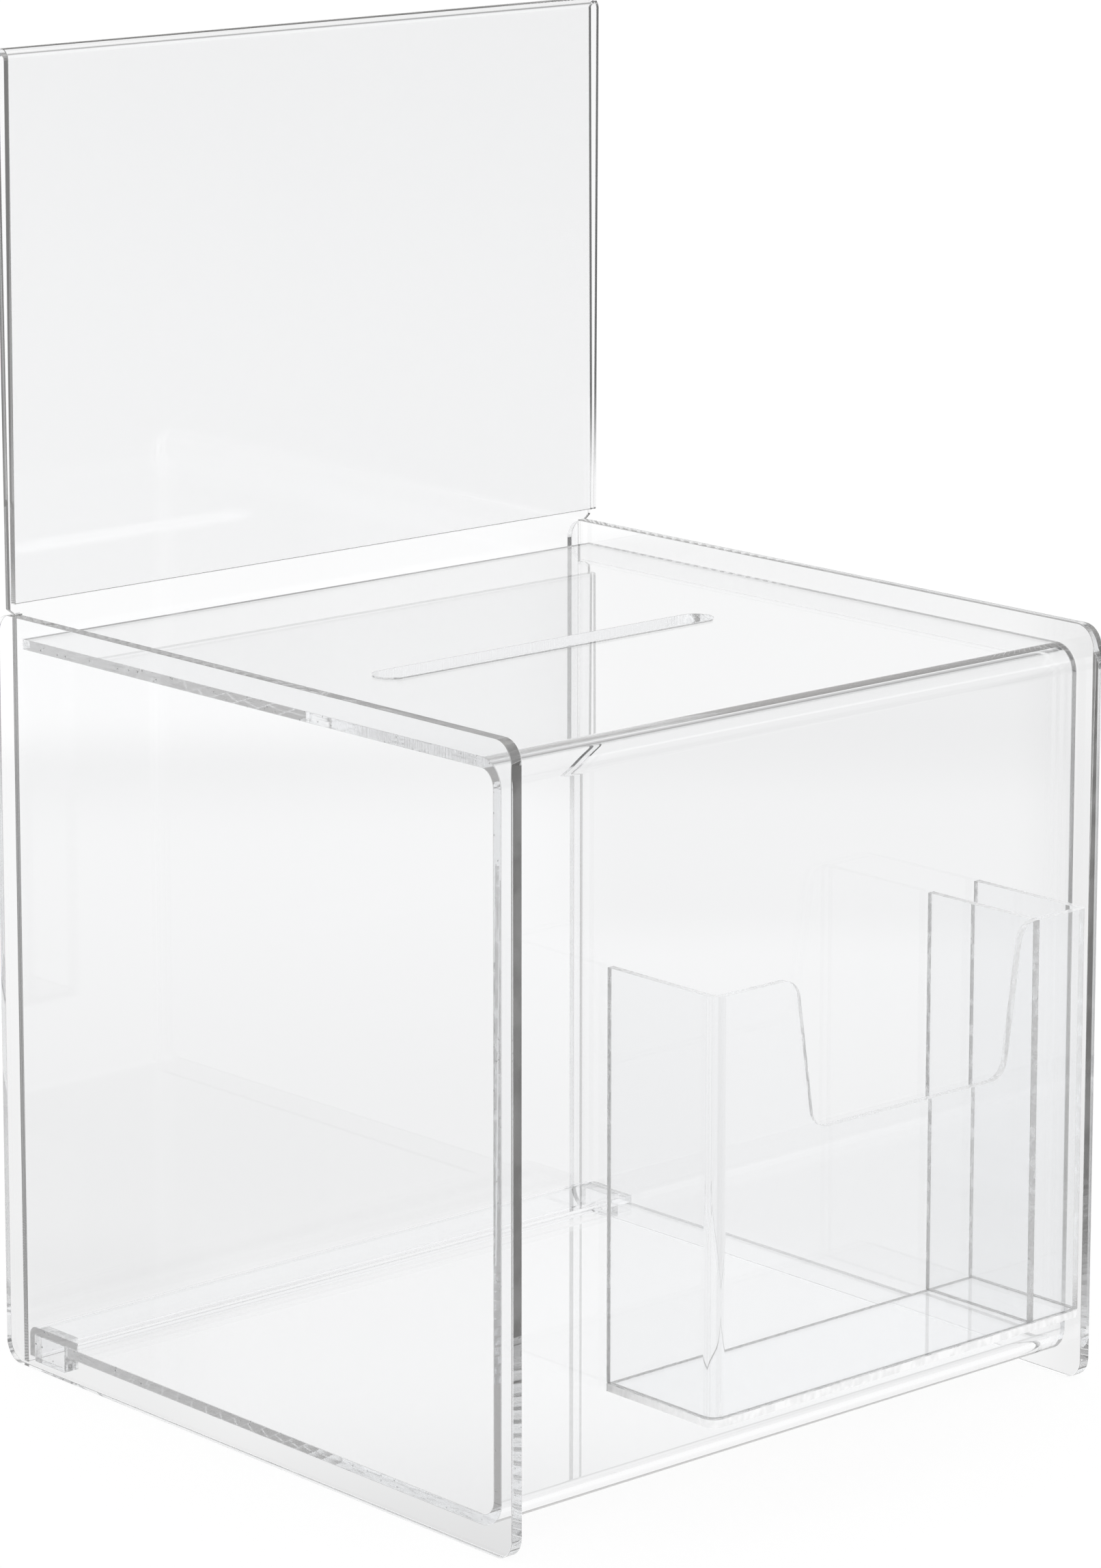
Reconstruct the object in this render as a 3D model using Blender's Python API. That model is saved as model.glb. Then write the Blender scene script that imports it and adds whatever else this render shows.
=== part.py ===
"""Donation box of clear acrylic sheet, with a drop-in sign holder behind it and a leaflet dispenser in front.

Run with: blender --background --python part.py
Metres, +Z up, the front faces -Y. The world origin lies on the table, under the middle of the whole
object. The pieces are laid out from the middle of the box's own footprint, which is an empty that
stands further back by half of what the dispenser adds in front.
"""

import math

import bmesh
import bpy
from mathutils import Matrix, Vector

MM = 0.001
GAP = 0.3 * MM                     # left between pieces that touch or are bonded
ARC_STEP = math.radians(6)         # turn from one point of a bend or a rounded corner to the next
CUTTER_MARGIN = 5 * MM             # how far a cutter reaches past the sheet that it cuts

# Box: two upright side panels, and one sheet bent into top, front and floor between them
BOX_WIDTH = 300 * MM
BOX_DEPTH = 300 * MM
BOX_HEIGHT = 300 * MM
PANEL_THICKNESS = 5 * MM
PANEL_CORNER_RADIUS = 8.5 * MM
WRAP_THICKNESS = 4 * MM
WRAP_BEND_RADIUS = 10.5 * MM       # outer face of both bends
WRAP_INSET = 8.5 * MM              # front and top faces, inside the panels' edges
FLOOR_UNDERSIDE = 9 * MM
TOP_REAR_EDGE = 135.2 * MM
FLOOR_REAR_EDGE = 113.4 * MM

# Coin and ballot slot in the top
SLOT_LENGTH = 170 * MM
SLOT_WIDTH = 14 * MM
SLOT_CENTRE = (-5 * MM, -6.2 * MM)

# Sign holder: back panel of the box and sign pocket in one bent sheet
SIGN_THICKNESS = 3 * MM
SIGN_TOP = 518 * MM
SIGN_FACE = 139.7 * MM             # front face of the back sheet, behind the box
SIGN_LEAN = 1.5 * MM               # how far the top of the back sheet leans back
SIGN_KNEE = 305 * MM               # height where the lean starts
SIGN_TONGUE_CLEARANCE = 0.6 * MM   # each side of the tongue that drops between the side panels
SHOULDER_CHAMFER = (2.5 * MM, 2 * MM)
FOLD_RADIUS = 4.5 * MM             # outer face of the fold at the top
FLAP_BOTTOM = 305 * MM
FLAP_GAP_AT_BOTTOM = 0.4 * MM

# Sill along the rear end of the floor, and the block at each end under it
SILL_THICKNESS = 3 * MM
SILL_FRONT = 107.4 * MM
SILL_REAR = 137.8 * MM
SILL_LEG_BOTTOM = 4 * MM
SILL_BEND_RADIUS = 3.8 * MM
BLOCK_WIDTH = 6.4 * MM
BLOCK_DEPTH = 18.8 * MM
BLOCK_BOTTOM = 2.3 * MM

# Leaflet and pen dispenser on the front
DISPENSER_THICKNESS = 3 * MM
DISPENSER_WIDTH = 190.4 * MM
DISPENSER_DEPTH = 56 * MM          # from the front of the box to the dispenser's own front face
DISPENSER_CENTRE = -1.5 * MM
DISPENSER_BOTTOM = 50 * MM
DISPENSER_TOP = 208.3 * MM
DISPENSER_LEFT_RADIUS = 5.5 * MM
DISPENSER_RIGHT_RADIUS = 3.4 * MM
PEN_COMPARTMENT = 21.7 * MM        # clear width between the partition and the right-hand wall
CUTOUT_CENTRE = 1.3 * MM
CUTOUT_BOTTOM = 151 * MM
CUTOUT_HALF_WIDTHS = (48.9 * MM, 57.6 * MM)     # at its bottom and at its top, before rounding
CUTOUT_RADIUS = 8 * MM

PANEL_INNER_FACE = BOX_WIDTH / 2 - PANEL_THICKNESS
WRAP_FRONT = -BOX_DEPTH / 2 + WRAP_INSET
WRAP_HALF_WIDTH = PANEL_INNER_FACE - GAP
DISPENSER_FRONT = WRAP_FRONT - DISPENSER_DEPTH
BOX_CENTRE_Y = (-BOX_DEPTH / 2 - DISPENSER_FRONT) / 2


def clear_scene():
    for old in list(bpy.data.objects):
        bpy.data.objects.remove(old)


def acrylic(name, tint, roughness):
    """Clear acrylic sheet, slightly tinted."""
    material = bpy.data.materials.new(name)
    material.use_nodes = True
    shader = material.node_tree.nodes["Principled BSDF"]
    shader.inputs["Base Color"].default_value = (*tint, 1)
    shader.inputs["Roughness"].default_value = roughness
    shader.inputs["Metallic"].default_value = 0
    shader.inputs["IOR"].default_value = 1.49
    shader.inputs["Transmission Weight"].default_value = 1
    return material


def arc_at(corner, before, after, radius):
    """Points of the arc that joins a corner's two legs, from the leg before it to the leg after it."""
    back = (before - corner).normalized()
    ahead = (after - corner).normalized()
    turn = math.pi - back.angle(ahead)
    start = corner + back * radius * math.tan(turn / 2)
    centre = corner + (back + ahead).normalized() * radius / math.cos(turn / 2)
    steps = max(2, round(turn / ARC_STEP))
    signed_step = math.copysign(turn / steps, ahead.cross(back))
    return [centre + Matrix.Rotation(signed_step * k, 2) @ (start - centre) for k in range(steps + 1)]


def rounded(corners, closed):
    """Line through (a, b, radius) corners, with an arc in place of each corner that has a radius."""
    points = []
    for index, (a, b, radius) in enumerate(corners):
        corner = Vector((a, b))
        if radius == 0:
            points.append(corner)
            continue
        before = Vector(corners[index - 1][:2])
        after = Vector(corners[(index + 1) % len(corners)][:2])
        points += arc_at(corner, before, after, radius)
    if closed and (points[0] - points[-1]).length < 0.01 * MM:
        points.pop()
    return points


def sheet_section(centre_line, thickness):
    """Closed outline of a sheet of even thickness that follows an open centre line."""
    last = len(centre_line) - 1
    left = []
    right = []
    for index, point in enumerate(centre_line):
        inward = (centre_line[max(index, 1)] - centre_line[max(index, 1) - 1]).normalized()
        outward = (centre_line[min(index, last - 1) + 1] - centre_line[min(index, last - 1)]).normalized()
        along = (inward + outward).normalized()
        reach = thickness / 2 / along.dot(inward)
        across = Vector((-along.y, along.x)) * reach
        left.append(point + across)
        right.append(point - across)
    return left + right[::-1]


def in_space(point, axis, level):
    """An outline's point in 3-D: its coordinates run along the two axes other than the extrusion's."""
    a, b = point
    return {"X": (level, a, b), "Y": (a, level, b), "Z": (a, b, level)}[axis]


def prism(name, outline, axis, low, high):
    """Solid object made by extruding a closed outline along an axis from one level to another."""
    work = bmesh.new()
    base = [work.verts.new(in_space(point, axis, low)) for point in outline]
    grown = bmesh.ops.extrude_face_region(work, geom=[work.faces.new(base)])
    lifted = [item for item in grown["geom"] if isinstance(item, bmesh.types.BMVert)]
    bmesh.ops.translate(work, verts=lifted, vec=in_space((0, 0), axis, high - low))
    bmesh.ops.recalc_face_normals(work, faces=work.faces)
    mesh = bpy.data.meshes.new(name)
    work.to_mesh(mesh)
    work.free()
    piece = bpy.data.objects.new(name, mesh)
    bpy.context.scene.collection.objects.link(piece)
    return piece


def finish_piece(piece, material, frame):
    """Shades a piece smooth over its bends, gives it its material and parents it to the box's frame."""
    piece.data.shade_smooth()
    piece.data.set_sharp_from_angle(angle=math.radians(30))
    piece.data.materials.append(material)
    piece.parent = frame
    return piece


def cut(piece, cutter, frame):
    """Cuts a hidden cutter out of a piece."""
    cutter.hide_render = True
    cutter.display_type = "WIRE"
    cutter.parent = frame
    boolean = piece.modifiers.new(f"cut {cutter.name}", "BOOLEAN")
    boolean.operation = "DIFFERENCE"
    boolean.object = cutter


def side_panel(name, side, frame):
    """Upright panel that stands on the table; side is -1 for the left and 1 for the right."""
    half = BOX_DEPTH / 2
    radius = PANEL_CORNER_RADIUS
    corners = [
        (-half, 0, radius),
        (half, 0, radius),
        (half, BOX_HEIGHT, radius),
        (-half, BOX_HEIGHT, radius),
    ]
    faces = sorted((side * PANEL_INNER_FACE, side * BOX_WIDTH / 2))
    panel = prism(name, rounded(corners, closed=True), "X", *faces)
    return finish_piece(panel, acrylic(f"{name} acrylic", (0.96, 0.97, 0.98), 0.02), frame)


def body_wrap(frame):
    """Top, front and floor in one bent sheet, open at the back, with the slot cut in its top."""
    half = WRAP_THICKNESS / 2
    bend = WRAP_BEND_RADIUS - half
    top = BOX_HEIGHT - WRAP_INSET - half
    front = WRAP_FRONT + half
    floor = FLOOR_UNDERSIDE + half
    corners = [
        (TOP_REAR_EDGE, top, 0),
        (front, top, bend),
        (front, floor, bend),
        (FLOOR_REAR_EDGE, floor, 0),
    ]
    section = sheet_section(rounded(corners, closed=False), WRAP_THICKNESS)
    wrap = prism("body_wrap", section, "X", -WRAP_HALF_WIDTH, WRAP_HALF_WIDTH)
    cut(wrap, slot_cutter(top), frame)
    return finish_piece(wrap, acrylic("wrap acrylic", (0.96, 0.97, 0.98), 0.02), frame)


def slot_cutter(top):
    """Upright cutter with the slot's outline, whose ends are full half circles."""
    x, y = SLOT_CENTRE
    end = SLOT_LENGTH / 2 - SLOT_WIDTH / 2
    radius = SLOT_WIDTH / 2
    steps = round(math.pi / ARC_STEP)
    outline = []
    for side, start in ((1, -math.pi / 2), (-1, math.pi / 2)):
        for step in range(steps + 1):
            angle = start + math.pi * step / steps
            outline.append((x + side * end + radius * math.cos(angle), y + radius * math.sin(angle)))
    reach = WRAP_THICKNESS / 2 + CUTTER_MARGIN
    return prism("slot_cutter", outline, "Z", top - reach, top + reach)


def sign_holder(frame):
    """Back panel that rises into a sign pocket: the sheet folds over at the top and hangs down in front."""
    half = SIGN_THICKNESS / 2
    back = SIGN_FACE + half
    back_top = back + SIGN_LEAN
    fold = FOLD_RADIUS - half
    flap_top = back_top - 2 * fold
    flap_bottom = SIGN_FACE - FLAP_GAP_AT_BOTTOM - half
    crown = SIGN_TOP - half
    centre_line = rounded(
        [
            (back, GAP, 0),
            (back, SIGN_KNEE, 0),
            (back_top, crown - fold, 0),
        ],
        closed=False,
    )
    fold_centre = Vector((back_top - fold, crown - fold))
    steps = round(math.pi / ARC_STEP)
    for step in range(1, steps):
        angle = math.pi * step / steps
        centre_line.append(fold_centre + fold * Vector((math.cos(angle), math.sin(angle))))
    centre_line.append(Vector((flap_top, crown - fold)))
    centre_line.append(Vector((flap_bottom, FLAP_BOTTOM)))
    section = sheet_section(centre_line, SIGN_THICKNESS)
    holder = prism("sign_holder", section, "X", -BOX_WIDTH / 2, BOX_WIDTH / 2)
    for side in (-1, 1):
        cut(holder, shoulder_cutter(side, back), frame)
    return finish_piece(holder, acrylic("sign acrylic", (0.95, 0.96, 0.975), 0.02), frame)


def shoulder_cutter(side, back):
    """Cutter that narrows the back sheet to a tongue and chamfers the shoulder above the side panel."""
    tongue = PANEL_INNER_FACE - SIGN_TONGUE_CLEARANCE
    outside = BOX_WIDTH / 2
    shoulder = BOX_HEIGHT + GAP
    chamfer_x, chamfer_z = SHOULDER_CHAMFER
    outline = [
        (side * tongue, -CUTTER_MARGIN),
        (side * tongue, shoulder),
        (side * (outside - chamfer_x), shoulder),
        (side * outside, shoulder + chamfer_z),
        (side * (outside + CUTTER_MARGIN), shoulder + chamfer_z),
        (side * (outside + CUTTER_MARGIN), -CUTTER_MARGIN),
    ]
    label = "left" if side < 0 else "right"
    return prism(f"{label}_shoulder_cutter", outline, "Y", back - CUTTER_MARGIN, back + CUTTER_MARGIN)


def rear_sill(frame):
    """Strip that lies on the rear end of the floor and turns down behind it."""
    half = SILL_THICKNESS / 2
    floor_top = FLOOR_UNDERSIDE + WRAP_THICKNESS + GAP
    corners = [
        (SILL_FRONT, floor_top + half, 0),
        (SILL_REAR - half, floor_top + half, SILL_BEND_RADIUS - half),
        (SILL_REAR - half, SILL_LEG_BOTTOM, 0),
    ]
    section = sheet_section(rounded(corners, closed=False), SILL_THICKNESS)
    sill = prism("rear_sill", section, "X", -WRAP_HALF_WIDTH, WRAP_HALF_WIDTH)
    return finish_piece(sill, acrylic("sill acrylic", (0.95, 0.96, 0.97), 0.02), frame)


def corner_block(name, side, frame):
    """Small block bonded to a side panel, under the sill and behind the floor's rear edge."""
    inner = PANEL_INNER_FACE - GAP - BLOCK_WIDTH
    low, high = sorted((side * inner, side * (inner + BLOCK_WIDTH)))
    rear = SILL_REAR - SILL_THICKNESS - GAP
    front = rear - BLOCK_DEPTH
    outline = [(low, front), (high, front), (high, rear), (low, rear)]
    block = prism(name, outline, "Z", BLOCK_BOTTOM, FLOOR_UNDERSIDE + WRAP_THICKNESS)
    return finish_piece(block, acrylic(f"{name} acrylic", (0.94, 0.95, 0.96), 0.02), frame)


def dispenser_front(frame):
    """Left wall, front wall and right wall of the dispenser in one bent sheet, with a finger cut-out."""
    half = DISPENSER_THICKNESS / 2
    left = DISPENSER_CENTRE - DISPENSER_WIDTH / 2 + half
    right = DISPENSER_CENTRE + DISPENSER_WIDTH / 2 - half
    front = DISPENSER_FRONT + half
    rear = WRAP_FRONT - GAP
    corners = [
        (left, rear, 0),
        (left, front, DISPENSER_LEFT_RADIUS - half),
        (right, front, DISPENSER_RIGHT_RADIUS - half),
        (right, rear, 0),
    ]
    section = sheet_section(rounded(corners, closed=False), DISPENSER_THICKNESS)
    bottom = DISPENSER_BOTTOM + DISPENSER_THICKNESS + GAP
    walls = prism("dispenser_front", section, "Z", bottom, DISPENSER_TOP)
    cut(walls, cutout_cutter(front), frame)
    return finish_piece(walls, acrylic("dispenser acrylic", (0.95, 0.96, 0.97), 0.02), frame)


def cutout_cutter(front):
    """Cutter for the finger cut-out: a trapezium, wider at its top, with all four corners rounded."""
    low_half, high_half = CUTOUT_HALF_WIDTHS
    flange = high_half + 2 * CUTOUT_RADIUS
    above = DISPENSER_TOP + CUTTER_MARGIN
    corners = [
        (CUTOUT_CENTRE - flange, above, 0),
        (CUTOUT_CENTRE - flange, DISPENSER_TOP, 0),
        (CUTOUT_CENTRE - high_half, DISPENSER_TOP, CUTOUT_RADIUS),
        (CUTOUT_CENTRE - low_half, CUTOUT_BOTTOM, CUTOUT_RADIUS),
        (CUTOUT_CENTRE + low_half, CUTOUT_BOTTOM, CUTOUT_RADIUS),
        (CUTOUT_CENTRE + high_half, DISPENSER_TOP, CUTOUT_RADIUS),
        (CUTOUT_CENTRE + flange, DISPENSER_TOP, 0),
        (CUTOUT_CENTRE + flange, above, 0),
    ]
    outline = rounded(corners, closed=True)
    return prism("cutout_cutter", outline, "Y", front - CUTTER_MARGIN, front + CUTTER_MARGIN)


def dispenser_partition(frame):
    """Upright wall between the leaflet compartment and the pen compartment."""
    right_wall = DISPENSER_CENTRE + DISPENSER_WIDTH / 2 - DISPENSER_THICKNESS
    high = right_wall - PEN_COMPARTMENT
    low = high - DISPENSER_THICKNESS
    front = DISPENSER_FRONT + DISPENSER_THICKNESS + GAP
    rear = WRAP_FRONT - GAP
    outline = [(low, front), (high, front), (high, rear), (low, rear)]
    bottom = DISPENSER_BOTTOM + DISPENSER_THICKNESS + GAP
    partition = prism("dispenser_partition", outline, "Z", bottom, DISPENSER_TOP - GAP)
    return finish_piece(partition, acrylic("partition acrylic", (0.95, 0.96, 0.97), 0.02), frame)


def dispenser_base(frame):
    """Plate under the walls, with the same outline as them."""
    left = DISPENSER_CENTRE - DISPENSER_WIDTH / 2
    right = DISPENSER_CENTRE + DISPENSER_WIDTH / 2
    rear = WRAP_FRONT - GAP
    corners = [
        (left, rear, 0),
        (left, DISPENSER_FRONT, DISPENSER_LEFT_RADIUS),
        (right, DISPENSER_FRONT, DISPENSER_RIGHT_RADIUS),
        (right, rear, 0),
    ]
    top = DISPENSER_BOTTOM + DISPENSER_THICKNESS
    base = prism("dispenser_base", rounded(corners, closed=True), "Z", DISPENSER_BOTTOM, top)
    return finish_piece(base, acrylic("base acrylic", (0.95, 0.96, 0.97), 0.02), frame)


def main():
    clear_scene()
    frame = bpy.data.objects.new("box_footprint_centre", None)
    bpy.context.scene.collection.objects.link(frame)
    frame.location = (0, BOX_CENTRE_Y, 0)
    side_panel("left_side_panel", -1, frame)
    side_panel("right_side_panel", 1, frame)
    body_wrap(frame)
    sign_holder(frame)
    rear_sill(frame)
    corner_block("left_corner_block", -1, frame)
    corner_block("right_corner_block", 1, frame)
    dispenser_front(frame)
    dispenser_partition(frame)
    dispenser_base(frame)


main()
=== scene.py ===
"""Looks of the clear acrylic donation box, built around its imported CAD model."""

import math

import bmesh
import bpy
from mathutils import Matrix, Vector


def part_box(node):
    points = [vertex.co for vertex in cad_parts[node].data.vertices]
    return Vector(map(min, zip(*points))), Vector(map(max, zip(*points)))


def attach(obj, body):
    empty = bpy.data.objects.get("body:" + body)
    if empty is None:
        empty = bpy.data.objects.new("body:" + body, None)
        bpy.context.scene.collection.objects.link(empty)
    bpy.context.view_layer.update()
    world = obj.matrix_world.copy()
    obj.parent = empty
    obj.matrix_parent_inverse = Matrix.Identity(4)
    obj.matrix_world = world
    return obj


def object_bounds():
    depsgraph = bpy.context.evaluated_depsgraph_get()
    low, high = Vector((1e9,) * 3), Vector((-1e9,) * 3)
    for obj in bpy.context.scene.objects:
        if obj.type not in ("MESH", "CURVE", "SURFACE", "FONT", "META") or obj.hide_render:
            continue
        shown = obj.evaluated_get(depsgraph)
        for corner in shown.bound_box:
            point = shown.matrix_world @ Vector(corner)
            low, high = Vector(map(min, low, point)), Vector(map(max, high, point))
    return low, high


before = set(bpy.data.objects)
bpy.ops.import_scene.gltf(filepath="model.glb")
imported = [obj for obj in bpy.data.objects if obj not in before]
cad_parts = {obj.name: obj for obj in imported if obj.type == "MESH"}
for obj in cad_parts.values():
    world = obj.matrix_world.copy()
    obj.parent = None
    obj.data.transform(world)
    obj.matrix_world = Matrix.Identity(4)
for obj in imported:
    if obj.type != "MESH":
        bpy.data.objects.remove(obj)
cad_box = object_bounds()

MM = 0.001
BOND_GAP = 0.3 * MM            # what the CAD leaves between bonded pieces
BOND_OVERLAP = 0.03 * MM       # how far a bond reaches into the sheet on each side of it
POLISHED_CHAMFER = 0.3 * MM    # on the side panels' and the sign's edges
SAWN_CHAMFER = 0.12 * MM       # on the other pieces' edges
REFRACTION = 1.49
HAZE_GLOW = 0.88              # radiance of the painted glow inside the acrylic, standing in for light that the haze scatters in
MARK_RANGE = 0.02 * MM         # height that a relief of 1 stands for
MILLED_DEPTH = 0.03 * MM       # of the lines on the slot's walls

# Camera: same viewing angle as a long lens from the front left, a little above the box
CAMERA_PLACE = (-1.45526, -1.60394, 0.75249)
CAMERA_YAW = math.radians(41.84)
CAMERA_PITCH = math.radians(10.79)
CAMERA_ROLL = math.radians(-0.04)
CAMERA_LENS = 133.9
CAMERA_SHIFT = -0.165

# Studio: a lit backdrop behind the box, a pale table, and an unlit room on the other sides
ROOM = 0.15                            # unlit room, for plain reflections
LEFT_WALL = (1.0, 0.62)                # wall at the left, above and below the table's edge
DEEP = 2.5                             # more reflections than this: light that ran along a sheet
FRONT_RIGHT = math.radians(138)        # azimuth of the table's lit side, from +Y towards +X
LIT_END = math.radians(140.45)         # azimuth where the lit side ends, for such light


# ---------------------------------------------------------------- node helpers

def link(tree, source, target):
    tree.links.new(source, target)


def feed(tree, socket, value):
    """Sets a socket to a number, or links it to another socket."""
    if isinstance(value, bpy.types.NodeSocket):
        tree.links.new(value, socket)
    elif value is not None:
        socket.default_value = value


def math_node(tree, operation, a, b=None, c=None):
    """Math node whose inputs are sockets or numbers."""
    node = tree.nodes.new("ShaderNodeMath")
    node.operation = operation
    for socket, value in zip(node.inputs, (a, b, c)):
        feed(tree, socket, value)
    return node.outputs[0]


def mix(tree, factor, a, b):
    """Blend of two sockets or numbers."""
    node = tree.nodes.new("ShaderNodeMix")
    node.data_type = "FLOAT"
    feed(tree, node.inputs[0], factor)
    feed(tree, node.inputs[2], a)
    feed(tree, node.inputs[3], b)
    return node.outputs[0]


def smooth_step(tree, value, start, end, low=0.0, high=1.0):
    """Value mapped smoothly from start..end to low..high."""
    node = tree.nodes.new("ShaderNodeMapRange")
    node.interpolation_type = "SMOOTHSTEP"
    link(tree, value, node.inputs["Value"])
    for name, number in (("From Min", start), ("From Max", end), ("To Min", low), ("To Max", high)):
        node.inputs[name].default_value = number
    return node.outputs[0]


def product(tree, *factors):
    result = factors[0]
    for factor in factors[1:]:
        result = math_node(tree, "MULTIPLY", result, factor)
    return result


def within(tree, value, low, high, edge):
    """1 between low and high, with a soft edge outside them."""
    return product(tree, smooth_step(tree, value, low - edge, low),
                   smooth_step(tree, value, high, high + edge, 1.0, 0.0))


def split(tree, vector):
    node = tree.nodes.new("ShaderNodeSeparateXYZ")
    link(tree, vector, node.inputs[0])
    return node.outputs


def place(tree):
    return tree.nodes.new("ShaderNodeTexCoord").outputs["Object"]


def surface_normal(tree):
    """Normal in the object's own frame."""
    return tree.nodes.new("ShaderNodeTexCoord").outputs["Normal"]


def stretched(tree, sizes, turn=(0, 0, 0)):
    """Object coordinates counted in features of the given sizes."""
    mapping = tree.nodes.new("ShaderNodeMapping")
    mapping.inputs["Rotation"].default_value = turn
    mapping.inputs["Scale"].default_value = [1 / size for size in sizes]
    link(tree, place(tree), mapping.inputs["Vector"])
    return mapping.outputs[0]


def noise(tree, vector, detail=1.0, roughness=0.5):
    node = tree.nodes.new("ShaderNodeTexNoise")
    node.inputs["Scale"].default_value = 1.0
    node.inputs["Detail"].default_value = detail
    node.inputs["Roughness"].default_value = roughness
    link(tree, vector, node.inputs["Vector"])
    return node.outputs["Fac"]


def specks(tree, size, spacing):
    """1 inside small round specks, scattered at random in about a third of the cells."""
    node = tree.nodes.new("ShaderNodeTexVoronoi")
    node.inputs["Scale"].default_value = 1.0
    link(tree, stretched(tree, (spacing, spacing, spacing)), node.inputs["Vector"])
    chosen = math_node(tree, "GREATER_THAN", split(tree, node.outputs["Color"])[0], 0.66)
    radius = 0.5 * size / spacing
    near = smooth_step(tree, node.outputs["Distance"], 0.7 * radius, radius, 1.0, 0.0)
    return product(tree, near, chosen)


def bump(tree, height, depth):
    """Normal of a surface with this relief; depth is the height's full range in metres."""
    node = tree.nodes.new("ShaderNodeBump")
    node.inputs["Strength"].default_value = 1.0
    node.inputs["Distance"].default_value = depth
    link(tree, height, node.inputs["Height"])
    return node.outputs[0]


# ---------------------------------------------------------------- acrylic

def haze_with_glow(tree, density):
    """Faint, slightly blue haze inside the sheet, with a painted glow: an emission of fixed strength
    that stands in for the light the haze scatters in, and evens out light that runs along the sheet.

    The density is the share of light that the haze takes out per metre, and it also sets the strength
    of the painted glow.
    """
    lost = tree.nodes.new("ShaderNodeVolumeAbsorption")
    lost.inputs["Color"].default_value = (0, 0.05, 0.1, 1)
    lost.inputs["Density"].default_value = density
    # painted light: a glow of fixed strength inside the acrylic, not light from the studio
    painted_glow = tree.nodes.new("ShaderNodeEmission")
    painted_glow.inputs["Color"].default_value = (0.99, 0.96, 0.93, 1)
    painted_glow.inputs["Strength"].default_value = density * HAZE_GLOW
    both = tree.nodes.new("ShaderNodeAddShader")
    link(tree, lost.outputs[0], both.inputs[0])
    link(tree, painted_glow.outputs[0], both.inputs[1])
    link(tree, both.outputs[0], tree.nodes["Material Output"].inputs["Volume"])


def acrylic(name, cut_faces, mark_sizes, mark_depth=0.001 * MM, frost=(0, 0), haze_glow_density=1.0, milled=None):
    """Clear cast acrylic: flat faces, machining marks and frosted blotches on the cut ones."""
    material = bpy.data.materials.new(name)
    material.use_nodes = True
    tree = material.node_tree
    shader = tree.nodes["Principled BSDF"]
    shader.inputs["Base Color"].default_value = (0.988, 0.99, 0.993, 1)
    shader.inputs["IOR"].default_value = REFRACTION
    # absorbing haze plus a painted glow inside the sheet, both set by this density
    haze_with_glow(tree, haze_glow_density)

    cut = cut_faces(tree)
    marks = noise(tree, stretched(tree, mark_sizes))
    relief = product(tree, marks, cut, mark_depth / MARK_RANGE)
    roughness = math_node(tree, "MULTIPLY", cut, 0.02)
    frosted = product(tree, cut, smooth_step(tree, marks, 0.35, 0.65, *frost))
    if milled is not None:
        walls = milled(tree)
        lines = noise(tree, stretched(tree, (0.7 * MM, 0.7 * MM, 12 * MM)))
        milling = product(tree, lines, walls)
        relief = math_node(tree, "MULTIPLY_ADD", milling, MILLED_DEPTH / MARK_RANGE, relief)
        roughness = mix(tree, walls, roughness, 0.02)
        frosted = mix(tree, walls, frosted, smooth_step(tree, lines, 0.4, 0.7, 0.0, 0.05))
    link(tree, math_node(tree, "SUBTRACT", 1.0, frosted), shader.inputs["Transmission Weight"])
    link(tree, roughness, shader.inputs["Roughness"])
    link(tree, bump(tree, relief, MARK_RANGE), shader.inputs["Normal"])
    return material


def facing(tree, axis, limit=0.6):
    """1 where the surface faces along an axis."""
    along = math_node(tree, "ABSOLUTE", split(tree, surface_normal(tree))[axis])
    return smooth_step(tree, along, limit, limit + 0.15)


def facing_away(tree, axis, limit=0.6):
    """1 where the surface doesn't face along an axis."""
    along = math_node(tree, "ABSOLUTE", split(tree, surface_normal(tree))[axis])
    return smooth_step(tree, along, limit, limit + 0.15, 1.0, 0.0)


def facing_up(tree):
    """1 where the surface faces up."""
    return smooth_step(tree, split(tree, surface_normal(tree))[2], 0.6, 0.75)


def slot_walls(tree):
    """1 on the walls of the slot: upright faces inside the top sheet's outline."""
    low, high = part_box("body_wrap")
    x, y, z = split(tree, place(tree))
    inset = 20 * MM
    return product(tree, facing_away(tree, 2),
                   within(tree, x, low.x + inset, high.x - inset, MM),
                   within(tree, y, low.y + inset, high.y - inset, MM),
                   smooth_step(tree, z, high.z - 8 * MM, high.z - 6 * MM))


def cutout_walls(tree):
    """1 on the dispenser's top edges and on the walls of its finger cut-out."""
    low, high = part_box("dispenser_front")
    x, y, z = split(tree, place(tree))
    front = smooth_step(tree, y, low.y + 4 * MM, low.y + 5 * MM, 1.0, 0.0)
    middle = within(tree, x, low.x + 12 * MM, high.x - 12 * MM, MM)
    above = smooth_step(tree, z, low.z + 20 * MM, low.z + 21 * MM)
    cutout = product(tree, front, middle, above, facing_away(tree, 1))
    return math_node(tree, "MAXIMUM", facing_up(tree), cutout)


def outer_edges(tree):
    """1 on the base's three free edges: not on its flat faces, nor on the edge bonded to the box."""
    to_box = split(tree, surface_normal(tree))[1]
    return product(tree, facing_away(tree, 2), smooth_step(tree, to_box, 0.6, 0.75, 1.0, 0.0))


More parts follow.
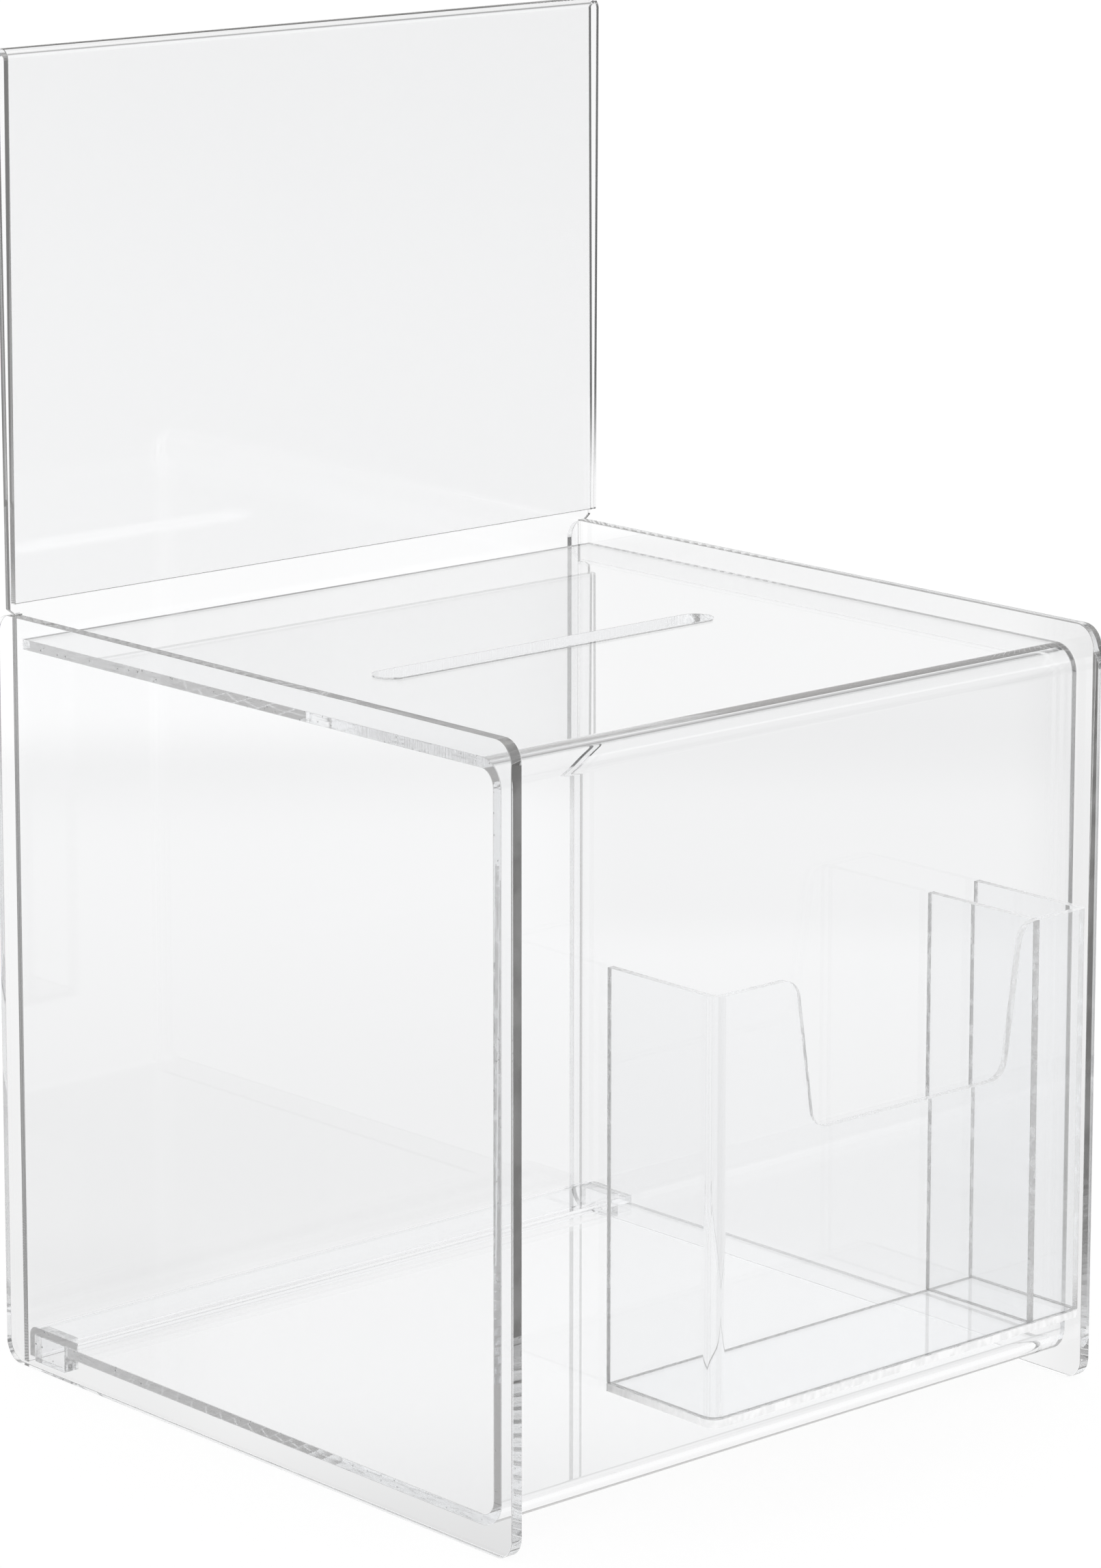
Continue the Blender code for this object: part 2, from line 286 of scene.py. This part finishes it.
def smooth_faces_group():
    """Geometry nodes that drop the imported normals and shade every face smooth."""
    group = bpy.data.node_groups.new("smooth_faces", "GeometryNodeTree")
    group.interface.new_socket("Geometry", in_out="INPUT", socket_type="NodeSocketGeometry")
    group.interface.new_socket("Geometry", in_out="OUTPUT", socket_type="NodeSocketGeometry")
    source = group.nodes.new("NodeGroupInput")
    target = group.nodes.new("NodeGroupOutput")
    drop = group.nodes.new("GeometryNodeRemoveAttribute")
    drop.inputs["Name"].default_value = "custom_normal"
    smooth = group.nodes.new("GeometryNodeSetShadeSmooth")
    group.links.new(source.outputs[0], drop.inputs[0])
    group.links.new(drop.outputs[0], smooth.inputs[0])
    group.links.new(smooth.outputs[0], target.inputs[0])
    return group


def chamfer_width(name):
    polished = ("left_side_panel", "right_side_panel", "sign_holder")
    return POLISHED_CHAMFER if name in polished else SAWN_CHAMFER


def polish(piece, group, width):
    """Joins the imported triangles into clean faces, chamfers the cut edges and smooths the bends."""
    weld = piece.modifiers.new("weld", "WELD")
    weld.merge_threshold = 0.01 * MM
    flats = piece.modifiers.new("flats", "DECIMATE")
    flats.decimate_type = "DISSOLVE"
    flats.angle_limit = math.radians(1)
    chamfer = piece.modifiers.new("chamfer", "BEVEL")
    chamfer.width = width
    chamfer.segments = 2
    chamfer.limit_method = "ANGLE"
    chamfer.angle_limit = math.radians(40)
    smooth = piece.modifiers.new("smooth", "NODES")
    smooth.node_group = group
    normals = piece.modifiers.new("normals", "WEIGHTED_NORMAL")
    normals.mode = "FACE_AREA"
    normals.weight = 50


# ---------------------------------------------------------------- bonds

def cement(name, white_share):
    """Solvent cement: clear where it wetted both sheets, white where it didn't."""
    material = bpy.data.materials.new(name)
    material.use_nodes = True
    tree = material.node_tree
    shader = tree.nodes["Principled BSDF"]
    shader.inputs["Base Color"].default_value = (0.985, 0.987, 0.99, 1)
    shader.inputs["IOR"].default_value = REFRACTION
    shader.inputs["Roughness"].default_value = 0
    clear_share = math_node(tree, "SUBTRACT", 1.0, white_share(tree))
    link(tree, clear_share, shader.inputs["Transmission Weight"])
    return material


def bubbles(tree):
    """A few small air bubbles, more of them at the rear."""
    y = split(tree, place(tree))[1]
    return product(tree, specks(tree, 0.9 * MM, 3 * MM), smooth_step(tree, y, -0.1, 0.15, 0.4, 1.0))


def milky(tree):
    """White blotches with bubbles between them."""
    blotches = noise(tree, stretched(tree, (5 * MM, 5 * MM, 5 * MM)))
    return math_node(tree, "MAXIMUM", smooth_step(tree, blotches, 0.35, 0.6, 0.25, 0.7), bubbles(tree))


def streaks(tree):
    """Slanting saw marks along the top and the floor, with bubbles between them."""
    saw = noise(tree, stretched(tree, (9 * MM, 9 * MM, 0.8 * MM), (math.radians(28), 0, 0)), 2.0)
    marks = smooth_step(tree, saw, 0.5, 0.75, 0.0, 0.2)
    return math_node(tree, "MAXIMUM", marks, bubbles(tree))


def flat_end(node, axis, side):
    """Flat end faces of a node, at its lowest or highest level along the axis, as a bmesh."""
    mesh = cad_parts[node].data
    low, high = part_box(node)
    level = high[axis] if side > 0 else low[axis]
    work = bmesh.new()
    corner_of = {}
    for polygon in mesh.polygons:
        points = [mesh.vertices[index].co for index in polygon.vertices]
        if any(abs(point[axis] - level) > 0.01 * MM for point in points):
            continue
        corners = []
        for point in points:
            key = tuple(round(value / (0.01 * MM)) for value in point)
            if key not in corner_of:
                corner_of[key] = work.verts.new(point)
            corners.append(corner_of[key])
        work.faces.new(corners)
    return work


def keep_between(work, low, high):
    """Cuts a flat bmesh off below and above two heights."""
    for height, up in ((low, -1), (high, 1)):
        geometry = work.verts[:] + work.edges[:] + work.faces[:]
        bmesh.ops.bisect_plane(work, geom=geometry, dist=0.001 * MM, plane_co=(0, 0, height),
                               plane_no=(0, 0, up), clear_outer=True)


def bond(name, node, axis, side, material, heights=None):
    """Film of cement over a node's flat end, reaching a little into the sheets on both sides."""
    work = flat_end(node, axis, side)
    if heights is not None:
        keep_between(work, *heights)
    reach = Vector((0, 0, 0))
    reach[axis] = side * (BOND_GAP + 2 * BOND_OVERLAP)
    start = Vector((0, 0, 0))
    start[axis] = -side * BOND_OVERLAP
    bmesh.ops.translate(work, verts=work.verts, vec=start)
    grown = bmesh.ops.extrude_face_region(work, geom=list(work.faces))
    lifted = [item for item in grown["geom"] if isinstance(item, bmesh.types.BMVert)]
    bmesh.ops.translate(work, verts=lifted, vec=reach)
    bmesh.ops.dissolve_limit(work, angle_limit=0.01, verts=work.verts, edges=work.edges)
    bmesh.ops.recalc_face_normals(work, faces=work.faces)
    film = bpy.data.meshes.new(name)
    work.to_mesh(film)
    work.free()
    piece = bpy.data.objects.new(name, film)
    bpy.context.scene.collection.objects.link(piece)
    piece.data.materials.append(material)
    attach(piece, "housing")


# ---------------------------------------------------------------- studio

def towards(tree, x, y, azimuth):
    """How far a direction points to an azimuth: 1 for straight at it."""
    return math_node(tree, "ADD",
                     math_node(tree, "MULTIPLY", x, math.sin(azimuth)),
                     math_node(tree, "MULTIPLY", y, math.cos(azimuth)))


def lit_side(tree, x, y, z, depth):
    """Radiance at the front right.

    Plain reflections see the dark room and, below it, the pale table. Deep ones see a lit side that
    ends sharply.
    """
    table = smooth_step(tree, z, -0.2181, -0.2351, 0.15, 0.85)
    past_end = towards(tree, x, y, LIT_END + math.pi / 2)
    shade = smooth_step(tree, past_end, 0.005, 0.045, 0.1, 0.3)
    side = mix(tree, smooth_step(tree, past_end, -0.004, 0.004), 0.95, shade)
    return mix(tree, math_node(tree, "GREATER_THAN", depth, DEEP), table, side)


def reflected_room(tree, x, y, z, depth):
    """Radiance that reflections see: backdrop, front right, left wall, table and light overhead.

    Light that ran a long way along a sheet has faded, except from the front right.
    """
    backdrop = smooth_step(tree, towards(tree, x, y, CAMERA_YAW), math.cos(math.radians(50)),
                           math.cos(math.radians(28)))
    behind = product(tree, smooth_step(tree, z, 0.22, 0.3, 0.93, 1.09),
                     smooth_step(tree, z, 0.345, 0.37, 1.0, 0.6))
    ahead_right = smooth_step(tree, towards(tree, x, y, FRONT_RIGHT), math.cos(math.radians(60)),
                              math.cos(math.radians(20)))
    plain_reflection = math_node(tree, "LESS_THAN", depth, DEEP)
    wall = product(tree, plain_reflection, smooth_step(tree, x, -0.25, -0.45),
                   smooth_step(tree, z, -0.165, -0.18))
    above = smooth_step(tree, z, 0.62, 0.85)
    below = smooth_step(tree, z, -0.35, -0.45)
    room = mix(tree, plain_reflection, smooth_step(tree, depth, 14, 26, 1.1, 0.12), ROOM)
    radiance = mix(tree, wall, room, smooth_step(tree, z, -0.215, -0.23, *LEFT_WALL))
    radiance = mix(tree, ahead_right, radiance, lit_side(tree, x, y, z, depth))
    radiance = mix(tree, backdrop, radiance, behind)
    radiance = mix(tree, math_node(tree, "MAXIMUM", above, below), radiance, 1.0)
    faded = smooth_step(tree, depth, 18, 32, 1.0, 0.12)
    return product(tree, radiance, mix(tree, ahead_right, faded, 1.0))


def seen_through(tree, x, y, z):
    """Radiance of the backdrop and the table straight through the box.

    It is a product of soft steps in the direction's height and in how far it points to the right.
    """
    side = towards(tree, x, y, CAMERA_YAW + math.pi / 2)
    right = smooth_step(tree, side, -0.01, 0.015)
    lower_left = product(tree, smooth_step(tree, side, -0.05, -0.07), smooth_step(tree, z, -0.3, -0.31))
    upper_right = product(tree, right, within(tree, z, -0.25, -0.192, 0.01))
    return product(tree,
                   smooth_step(tree, z, -0.1, -0.16, 1.03, 1.055),
                   mix(tree, right, smooth_step(tree, z, -0.218, -0.228, 1.0, 0.945),
                       smooth_step(tree, z, -0.186, -0.192, 1.0, 0.955)),
                   smooth_step(tree, z, -0.24, -0.295, 1.0, 0.93),
                   smooth_step(tree, z, -0.3, -0.315, 1.0, 1.03),
                   smooth_step(tree, z, -0.325, -0.36, 1.0, 0.8),
                   smooth_step(tree, z, -0.38, -0.42, 1.0, 1.25),
                   smooth_step(tree, side, 0.078, 0.09, 1.0, 0.93),
                   mix(tree, lower_left, 1.0, 0.95),
                   mix(tree, upper_right, 1.0, 0.945))


def studio_world():
    world = bpy.data.worlds.new("studio")
    bpy.context.scene.world = world
    world.use_nodes = True
    tree = world.node_tree
    background = tree.nodes["Background"]
    x, y, z = split(tree, tree.nodes.new("ShaderNodeTexCoord").outputs["Generated"])
    path = tree.nodes.new("ShaderNodeLightPath")
    depth = path.outputs["Glossy Depth"]
    reflected = math_node(tree, "GREATER_THAN", depth, 0.5)
    plain = math_node(tree, "MAXIMUM", path.outputs["Is Camera Ray"],
                      math_node(tree, "GREATER_THAN", path.outputs["Diffuse Depth"], 0.5))
    through = mix(tree, reflected, seen_through(tree, x, y, z), reflected_room(tree, x, y, z, depth))
    link(tree, mix(tree, plain, through, 1.0), background.inputs["Strength"])
    background.inputs["Color"].default_value = (1, 1, 1, 1)
    world.cycles.sampling_method = "NONE"


def camera():
    data = bpy.data.cameras.new("camera")
    data.lens = CAMERA_LENS
    data.sensor_width = 36
    data.shift_y = CAMERA_SHIFT
    data.clip_end = 100
    item = bpy.data.objects.new("camera", data)
    item.location = CAMERA_PLACE
    item.rotation_euler = (math.pi / 2 - CAMERA_PITCH, CAMERA_ROLL, -CAMERA_YAW)
    bpy.context.scene.collection.objects.link(item)
    bpy.context.scene.camera = item


def render_look():
    scene = bpy.context.scene
    scene.view_settings.view_transform = "Standard"
    cycles = scene.cycles
    cycles.max_bounces = 96
    cycles.glossy_bounces = 96
    cycles.transmission_bounces = 96
    cycles.transparent_max_bounces = 32
    cycles.use_denoising = True


# ---------------------------------------------------------------- finishes

def sheet_materials():
    """Acrylic of each node, with machining marks on its cut edges."""
    def ends(tree):
        return facing(tree, 0)

    def edges(tree):
        return facing_away(tree, 0)

    # the density below sets both the haze and its painted glow; the laser-cut pieces' 20 makes them
    # glow most
    sawn = {"mark_sizes": (8 * MM, 8 * MM, 0.7 * MM)}
    laser = {"mark_sizes": (3 * MM, 3 * MM, 6 * MM), "frost": (0.4, 0.9), "haze_glow_density": 20}
    polished = {"mark_sizes": (12 * MM, 12 * MM, 12 * MM)}
    panel = acrylic("panel_acrylic", edges, **polished, frost=(0, 0.06), haze_glow_density=0.4)
    block = acrylic("block_acrylic", edges, mark_sizes=(8 * MM, 2.5 * MM, 2.5 * MM),
                    mark_depth=0.005 * MM, frost=(0.05, 0.4))
    return {
        "left_side_panel": panel,
        "right_side_panel": panel,
        "body_wrap": acrylic("wrap_acrylic", ends, **sawn, haze_glow_density=1.2, milled=slot_walls),
        "sign_holder": acrylic("sign_acrylic", ends, **polished, haze_glow_density=0.4),
        "rear_sill": acrylic("sill_acrylic", ends, **polished),
        "left_corner_block": block,
        "right_corner_block": block,
        "dispenser_front": acrylic("dispenser_acrylic", cutout_walls, **laser),
        "dispenser_partition": acrylic("partition_acrylic", facing_up, **laser),
        "dispenser_base": acrylic("base_acrylic", outer_edges, mark_sizes=(4 * MM, 4 * MM, 6 * MM),
                                  frost=(0.6, 0.95), haze_glow_density=20),
    }


def table():
    """Pale, evenly lit table top, seen by the camera only: the box shows the studio's own light."""
    low, high = cad_box
    bpy.ops.mesh.primitive_plane_add(size=40, location=(0, 0, low[2] - 0.2 * MM))
    top = bpy.context.object
    top.name = "table_top"
    material = bpy.data.materials.new("table_top")
    material.use_nodes = True
    shader = material.node_tree.nodes["Principled BSDF"]
    shader.inputs["Base Color"].default_value = (0.08, 0.08, 0.08, 1)
    shader.inputs["Roughness"].default_value = 1
    shader.inputs["Specular IOR Level"].default_value = 0
    shader.inputs["Emission Color"].default_value = (1, 1, 1, 1)
    shader.inputs["Emission Strength"].default_value = 0.94
    top.data.materials.append(material)
    top.visible_glossy = False
    top.visible_transmission = False
    top.visible_diffuse = False


def main():
    group = smooth_faces_group()
    for name, material in sheet_materials().items():
        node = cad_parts[name]
        node.material_slots[0].material = material
        polish(node, group, chamfer_width(name))
    clear = cement("clear_cement", bubbles)
    streaked = cement("streaked_cement", streaks)
    blotched = cement("milky_cement", milky)
    low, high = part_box("body_wrap")
    bend = 10 * MM
    for label, side in (("left", -1), ("right", 1)):
        bond(f"top_bond_{label}", "body_wrap", 0, side, streaked, (high.z - bend, high.z))
        bond(f"front_bond_{label}", "body_wrap", 0, side, clear, (low.z + bend, high.z - bend))
        bond(f"floor_bond_{label}", "body_wrap", 0, side, streaked, (low.z, low.z + bend))
        bond(f"sill_bond_{label}", "rear_sill", 0, side, clear)
        bond(f"block_bond_{label}", f"{label}_corner_block", 0, side, clear)
    bond("dispenser_wall_bond", "dispenser_front", 1, 1, blotched)
    bond("partition_rear_bond", "dispenser_partition", 1, 1, blotched)
    bond("partition_front_bond", "dispenser_partition", 1, -1, blotched)
    bond("base_rear_bond", "dispenser_base", 1, 1, blotched)
    bond("dispenser_foot_bond", "dispenser_front", 2, -1, blotched)
    bond("partition_foot_bond", "dispenser_partition", 2, -1, blotched)
    table()
    studio_world()
    camera()
    render_look()


main()
